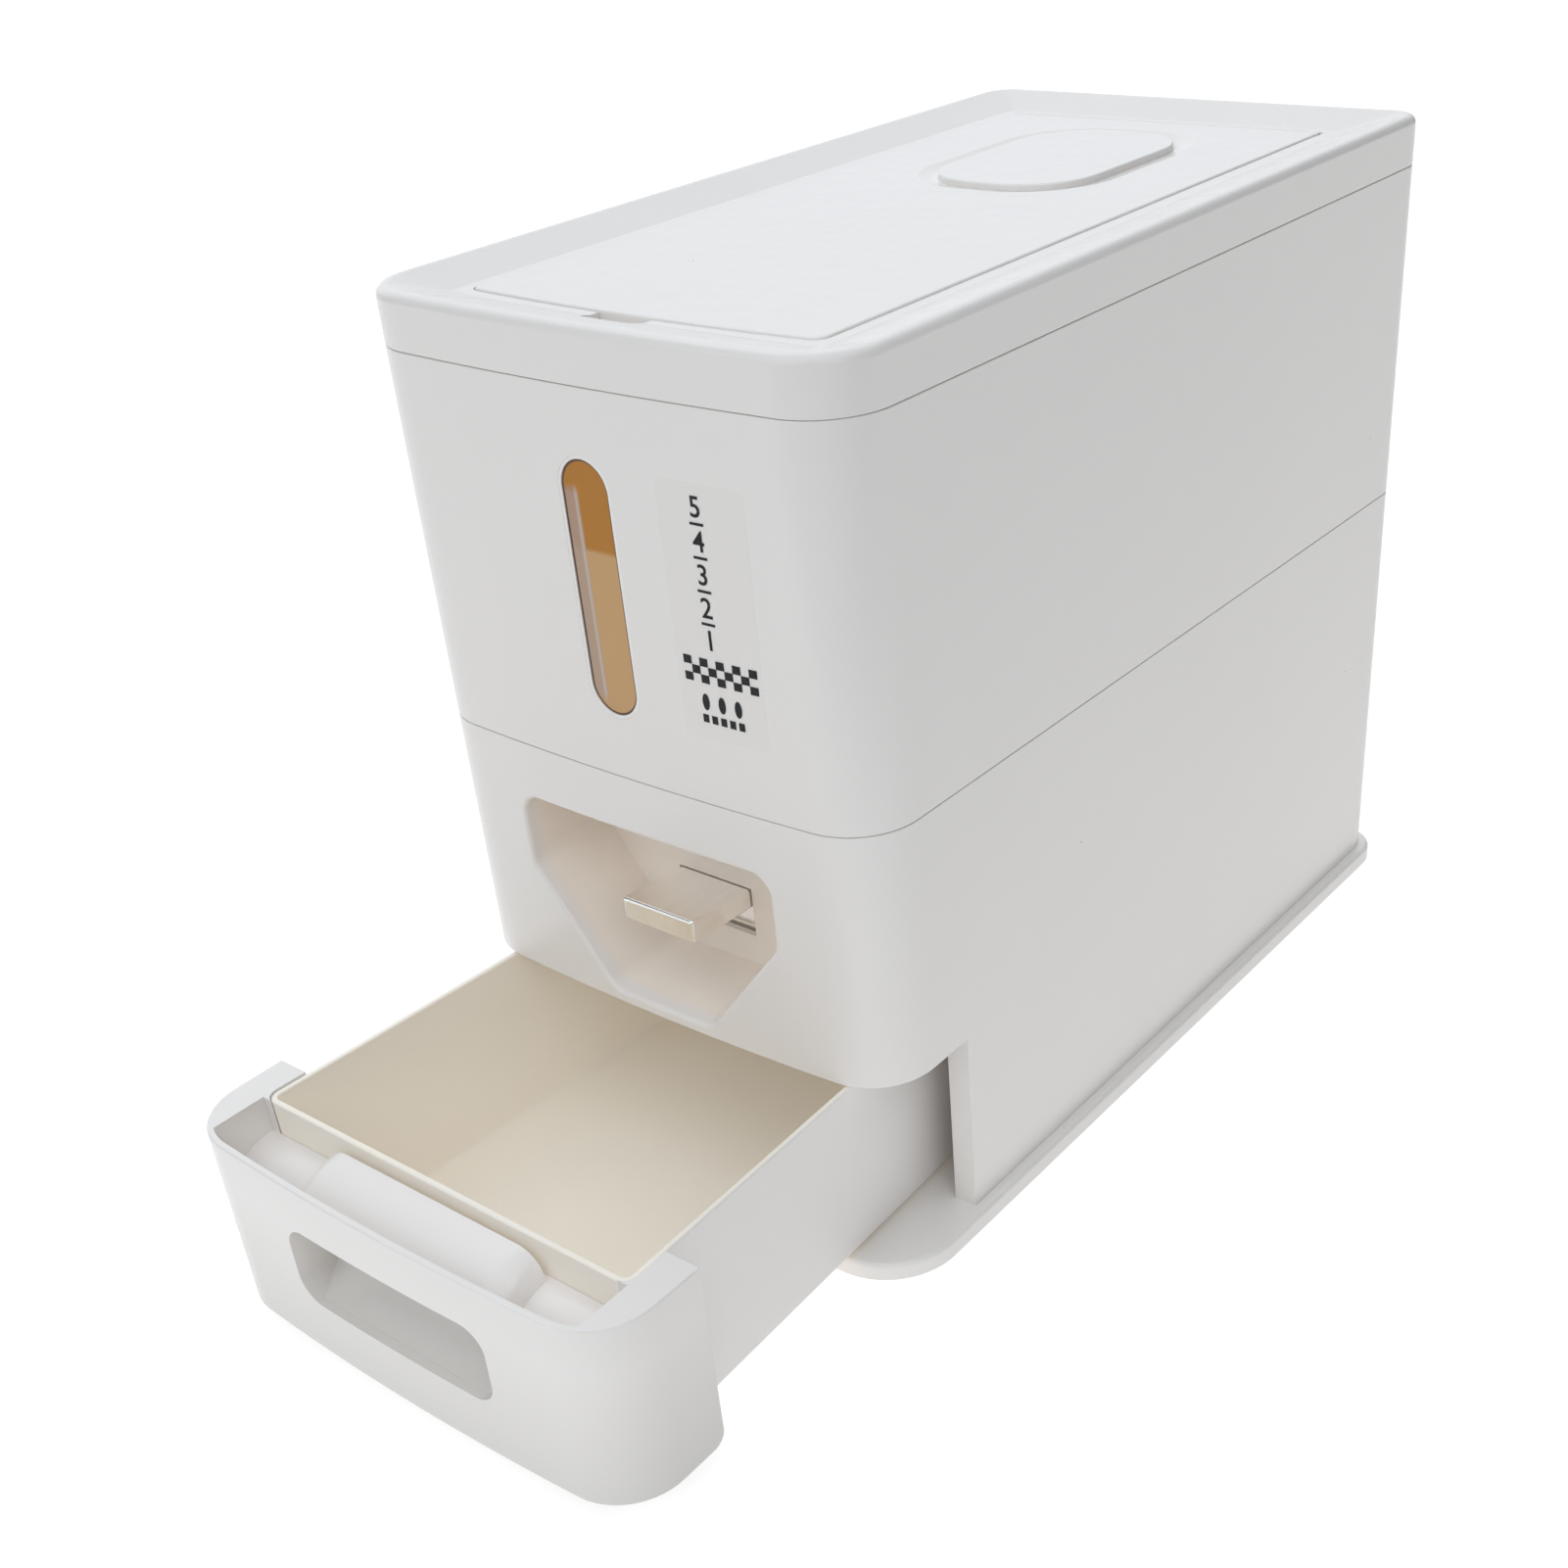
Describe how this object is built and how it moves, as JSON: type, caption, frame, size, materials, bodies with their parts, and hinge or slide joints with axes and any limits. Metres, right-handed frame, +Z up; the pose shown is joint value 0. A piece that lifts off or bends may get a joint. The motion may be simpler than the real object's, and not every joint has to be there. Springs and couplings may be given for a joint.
{
  "type": "rice dispenser",
  "caption": "Countertop rice dispenser: a lidded tank with a sight window and a press lever that lets a measured portion fall into a pull-out drawer with a finger opening.",
  "frame": {"origin": "on the floor, under the middle of the object's box with the drawer pulled out as stored", "axes": "+X to the right seen from the front, +Y from the front to the back, +Z up"},
  "size_m": [0.199, 0.487, 0.3096],
  "materials": {
    "shell_white": "smooth glossy white moulding",
    "tray_plastic": "smooth warm white moulding",
    "inner_plastic": "plain satin white moulding",
    "bush_plastic": "grey self-lubricating moulding",
    "bright_plate": "bright plated",
    "steel": "plain drawn steel",
    "window_tint": "clear amber tint",
    "seal_rubber": "soft light grey",
    "foot_rubber": "soft dark grey",
    "sachet_paper": "non-woven paper"
  },
  "bodies": {
    "housing": {"base_plate": "shell_white", "foot_pads": "foot_rubber", "base_screws": "steel", "drawer_rail_left": "inner_plastic", "drawer_rail_right": "inner_plastic", "lower_housing": "shell_white", "mechanism_deck": "inner_plastic", "deck_screws": "steel", "chamber_body": "inner_plastic", "chamber_screws": "steel", "shaft_bush_left": "bush_plastic", "shaft_bush_right": "bush_plastic", "return_springs": "steel", "upper_bin": "shell_white", "hopper_funnel": "inner_plastic", "window_seal": "seal_rubber", "window_pane": "window_tint"},
    "lever": {"pivot_shaft": "steel", "shaft_clips": "steel", "cheek_left": "inner_plastic", "cheek_right": "inner_plastic", "inlet_gate": "inner_plastic", "outlet_gate": "inner_plastic", "lever_arm": "inner_plastic", "lever_cover": "bright_plate", "lever_apron": "bright_plate"},
    "drawer": {"drawer_tray": "tray_plastic", "drawer_front": "shell_white"},
    "lid": {"lid_frame": "shell_white", "lid_gasket": "seal_rubber", "flap_seal": "seal_rubber", "hinge_pins": "steel"},
    "flap": {"lid_flap": "shell_white"},
    "moisture_unit": {"moisture_cap": "shell_white", "moisture_basket": "inner_plastic", "moisture_sachet": "sachet_paper"}
  },
  "joints": [
    {"name": "lever_press", "type": "hinge", "parent": "housing", "child": "lever", "pos_m": [0, -0.04365, 0.115], "axis": [1, 0, 0], "range_deg": [0, 16.5], "stiffness_Nm_per_rad": 1.2, "springref_deg": -8.59, "deforming": ["return_springs"]},
    {"name": "drawer_slide", "type": "slide", "parent": "housing", "child": "drawer", "axis": [0, 1, 0], "range_m": [-0.045, 0.1318]},
    {"name": "lid_lift", "type": "slide", "parent": "housing", "child": "lid", "axis": [0, 0, 1], "range_m": [0, 0.06]},
    {"name": "flap_hinge", "type": "hinge", "parent": "lid", "child": "flap", "pos_m": [0, 0.20785, 0.303], "axis": [-1, 0, 0], "range_deg": [0, 100]},
    {"name": "moisture_cap_lift", "type": "slide", "parent": "flap", "child": "moisture_unit", "axis": [0, 0, 1], "range_m": [0, 0.03]}
  ]
}
